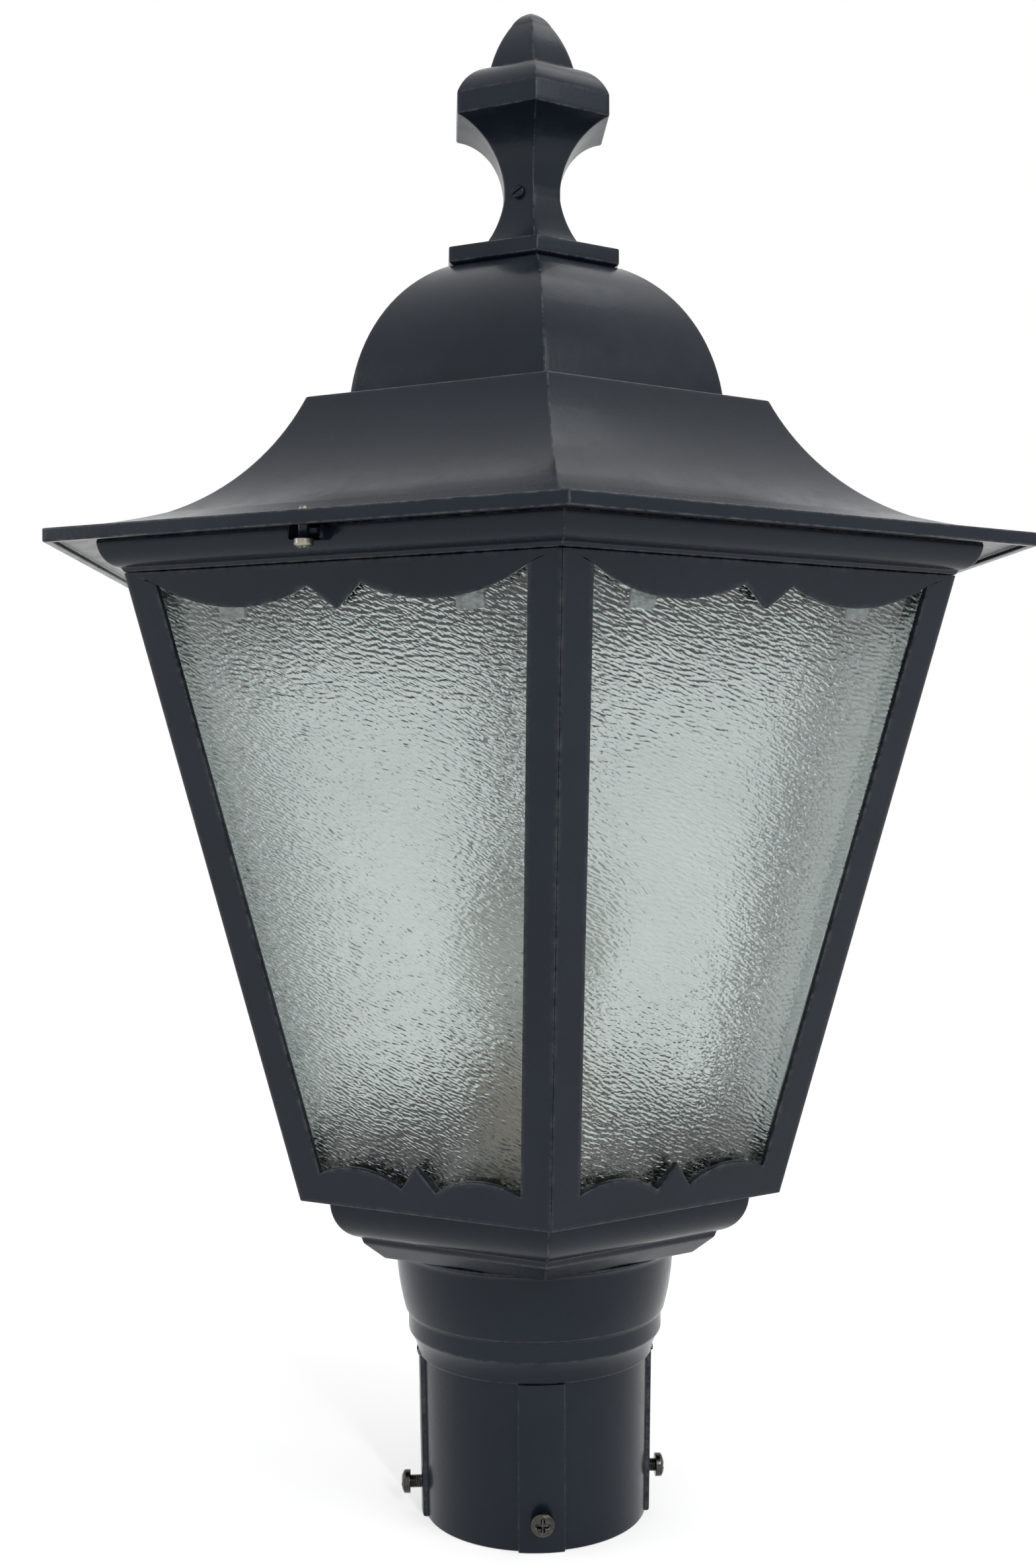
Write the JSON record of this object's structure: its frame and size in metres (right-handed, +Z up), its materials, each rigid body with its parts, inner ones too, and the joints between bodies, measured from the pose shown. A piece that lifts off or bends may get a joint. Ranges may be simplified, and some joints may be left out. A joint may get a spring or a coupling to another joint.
{
  "type": "post top lantern",
  "caption": "Six-sided tapered lantern that sits on a post: frosted panes in cast frames with scalloped trims, a flared lift-off roof with a dome and finial, and a socket with clamping screws.",
  "frame": {"origin": "centre of the pole fitter's lower end, where the lantern stands", "axes": "+Z up along the post, -Y towards the front corner, +X to the right-hand face"},
  "size_m": [0.336, 0.388, 0.5821],
  "materials": {
    "cast_paint": "cast, gloss black stoved paint",
    "pane_glass": "frosted, rippled on the outside",
    "plated_steel": "zinc plated, dulled",
    "spring_steel": "bright strip",
    "black_rubber": "matt",
    "brass": "drawn",
    "block_plastic": "moulded",
    "holder_plastic": "moulded brown phenolic",
    "lamp_cap_metal": "pressed thread",
    "opal_glass": "opal white"
  },
  "bodies": {
    "lantern": {"side_frame_1": "cast_paint", "glass_pane_1": "pane_glass", "side_frame_2": "cast_paint", "glass_pane_2": "pane_glass", "side_frame_3": "cast_paint", "glass_pane_3": "pane_glass", "side_frame_4": "cast_paint", "glass_pane_4": "pane_glass", "side_frame_5": "cast_paint", "glass_pane_5": "pane_glass", "side_frame_6": "cast_paint", "glass_pane_6": "pane_glass", "pole_fitter": "cast_paint", "base_tray": "cast_paint", "cornice_ring": "cast_paint", "tray_bolts": "plated_steel", "tray_nuts": "plated_steel", "pane_clips": "spring_steel", "foot_screws": "plated_steel", "head_screws": "plated_steel", "roof_gasket": "black_rubber", "lamp_bracket": "spring_steel", "floor_screws": "plated_steel", "earth_screw": "brass", "terminal_block": "block_plastic", "cable_grommet": "black_rubber", "lampholder_body": "holder_plastic", "lampholder_nut": "plated_steel", "lampholder_sleeve": "brass", "lampholder_contact": "brass"},
    "roof": {"roof_skirt": "cast_paint", "roof_dome": "cast_paint", "roof_bridge": "spring_steel", "finial_stem": "cast_paint", "finial_bud": "cast_paint", "finial_rod": "plated_steel", "rod_nut": "plated_steel", "rod_washer": "plated_steel", "finial_set_screw": "plated_steel"},
    "lamp": {"lamp_cap": "lamp_cap_metal", "lamp_bulb": "opal_glass"},
    "set_screw_front_body": {"set_screw_front": "plated_steel"},
    "set_screw_right_body": {"set_screw_right": "plated_steel"},
    "set_screw_back_body": {"set_screw_back": "plated_steel"},
    "set_screw_left_body": {"set_screw_left": "plated_steel"},
    "roof_screw_1_body": {"roof_screw_1": "plated_steel"},
    "roof_screw_2_body": {"roof_screw_2": "plated_steel"},
    "roof_screw_3_body": {"roof_screw_3": "plated_steel"}
  },
  "joints": [
    {"name": "roof_lift", "type": "slide", "parent": "lantern", "child": "roof", "axis": [0, 0, 1], "range_m": [0, 0.12]},
    {"name": "lamp_unscrew", "type": "slide", "parent": "lantern", "child": "lamp", "axis": [0, 0, 1], "range_m": [0, 0.027]},
    {"name": "set_screw_front_turn_in", "type": "slide", "parent": "lantern", "child": "set_screw_front_body", "axis": [0, 1, 0], "range_m": [-0.002, 0.0011]},
    {"name": "set_screw_right_turn_in", "type": "slide", "parent": "lantern", "child": "set_screw_right_body", "axis": [-1, 0, 0], "range_m": [-0.002, 0.0011]},
    {"name": "set_screw_back_turn_in", "type": "slide", "parent": "lantern", "child": "set_screw_back_body", "axis": [0, -1, 0], "range_m": [-0.002, 0.0029]},
    {"name": "set_screw_left_turn_in", "type": "slide", "parent": "lantern", "child": "set_screw_left_body", "axis": [1, 0, 0], "range_m": [-0.002, 0.0029]},
    {"name": "roof_screw_1_back_out", "type": "slide", "parent": "lantern", "child": "roof_screw_1_body", "axis": [0, 0, -1], "range_m": [0, 0.014]},
    {"name": "roof_screw_2_back_out", "type": "slide", "parent": "lantern", "child": "roof_screw_2_body", "axis": [0, 0, -1], "range_m": [0, 0.014]},
    {"name": "roof_screw_3_back_out", "type": "slide", "parent": "lantern", "child": "roof_screw_3_body", "axis": [0, 0, -1], "range_m": [0, 0.014]}
  ]
}
